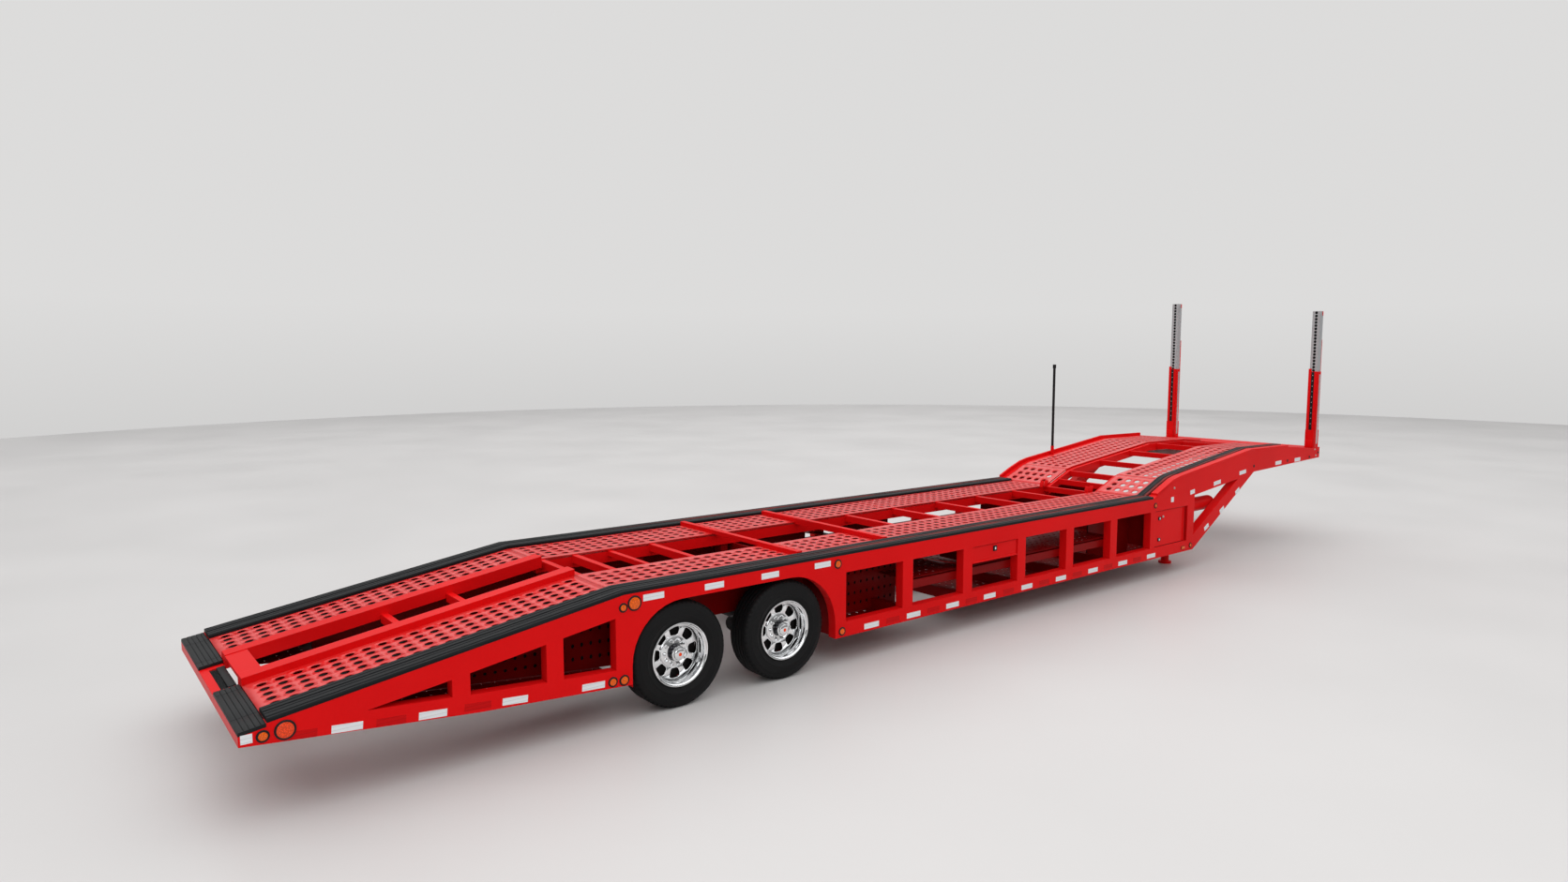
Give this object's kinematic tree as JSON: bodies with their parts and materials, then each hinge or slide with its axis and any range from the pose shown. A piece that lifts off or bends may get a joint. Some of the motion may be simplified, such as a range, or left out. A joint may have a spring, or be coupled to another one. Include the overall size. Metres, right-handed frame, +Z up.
{
  "type": "car transporter semi-trailer",
  "caption": "Open car transporter semi-trailer: low perforated wedge deck, windowed side frames, gooseneck, tandem wheels and telescoping head posts.",
  "frame": {"origin": "on the ground under the middle of the trailer's box", "axes": "+X forward towards the gooseneck, +Y left, +Z up"},
  "size_m": [15.85, 2.615, 3.9],
  "materials": {
    "frame_red": "gloss paint",
    "black_rubber": "matt ribbed",
    "coupler_steel": "greased steel",
    "axle_black": "satin",
    "tyre": "matt",
    "rim_chrome": "polished",
    "post_silver": "mill finish",
    "pole_black": "matt",
    "amber_lens": "clear lens",
    "red_lens": "clear lens"
  },
  "bodies": {
    "trailer": {"side_frame_right": "frame_red", "side_frame_left": "frame_red", "neck_beams": "frame_red", "neck_struts": "frame_red", "front_crossbeam": "frame_red", "rear_crossbeam": "frame_red", "rear_wear_plates": "black_rubber", "ramp_runways": "frame_red", "ramp_rails": "frame_red", "deck_runways": "frame_red", "deck_rails": "frame_red", "neck_runways": "frame_red", "crossmembers": "frame_red", "raised_crossbars": "frame_red", "edge_strip_right": "black_rubber", "edge_strip_left": "black_rubber", "neck_lip_left": "frame_red", "lower_deck": "frame_red", "belly_beams": "frame_red", "front_toolboxes": "frame_red", "side_toolboxes": "frame_red", "landing_legs": "frame_red", "air_tanks": "frame_red", "coupler_plate": "coupler_steel", "spring_hangers": "frame_red", "leaf_springs": "axle_black", "axles": "axle_black", "post_sleeves": "frame_red", "marker_pole": "pole_black", "marker_lamps": "amber_lens", "tail_lamps": "red_lens"},
    "wheel_rear_right": {"tyre_rear_right": "tyre", "rim_rear_right": "rim_chrome"},
    "wheel_rear_left": {"tyre_rear_left": "tyre", "rim_rear_left": "rim_chrome"},
    "wheel_front_right": {"tyre_front_right": "tyre", "rim_front_right": "rim_chrome"},
    "wheel_front_left": {"tyre_front_left": "tyre", "rim_front_left": "rim_chrome"},
    "front_toolbox_door_right": {"front_toolbox_door_right": "frame_red"},
    "front_toolbox_door_left": {"front_toolbox_door_left": "frame_red"},
    "side_toolbox_door_right": {"side_toolbox_door_right": "frame_red"},
    "side_toolbox_door_left": {"side_toolbox_door_left": "frame_red"},
    "inner_post_right": {"inner_post_right": "post_silver"},
    "inner_post_left": {"inner_post_left": "post_silver"}
  },
  "joints": [
    {"name": "wheel_rear_right_spin", "type": "hinge", "parent": "trailer", "child": "wheel_rear_right", "pos_m": [-4.552, -1.135, 0.4705], "axis": [0, 1, 0], "continuous": true},
    {"name": "wheel_rear_left_spin", "type": "hinge", "parent": "trailer", "child": "wheel_rear_left", "pos_m": [-4.552, 1.135, 0.4705], "axis": [0, 1, 0], "continuous": true},
    {"name": "wheel_front_right_spin", "type": "hinge", "parent": "trailer", "child": "wheel_front_right", "pos_m": [-3.395, -1.135, 0.4705], "axis": [0, 1, 0], "continuous": true},
    {"name": "wheel_front_left_spin", "type": "hinge", "parent": "trailer", "child": "wheel_front_left", "pos_m": [-3.395, 1.135, 0.4705], "axis": [0, 1, 0], "continuous": true},
    {"name": "front_toolbox_right_hinge", "type": "hinge", "parent": "trailer", "child": "front_toolbox_door_right", "pos_m": [3.678, -1.2855, 0.67], "axis": [0, 0, 1], "range_deg": [0, 110]},
    {"name": "side_toolbox_right_hinge", "type": "hinge", "parent": "trailer", "child": "side_toolbox_door_right", "pos_m": [-0.387, -1.2855, 0.742], "axis": [1, 0, 0], "range_deg": [0, 95]},
    {"name": "front_toolbox_left_hinge", "type": "hinge", "parent": "trailer", "child": "front_toolbox_door_left", "pos_m": [3.678, 1.2855, 0.67], "axis": [0, 0, -1], "range_deg": [0, 110]},
    {"name": "side_toolbox_left_hinge", "type": "hinge", "parent": "trailer", "child": "side_toolbox_door_left", "pos_m": [-0.387, 1.2855, 0.742], "axis": [-1, 0, 0], "range_deg": [0, 95]},
    {"name": "post_right_slide", "type": "slide", "parent": "trailer", "child": "inner_post_right", "axis": [0, 0, 1], "range_m": [-0.6, 0.25]},
    {"name": "post_left_slide", "type": "slide", "parent": "trailer", "child": "inner_post_left", "axis": [0, 0, 1], "range_m": [-0.8, 0.05]}
  ]
}
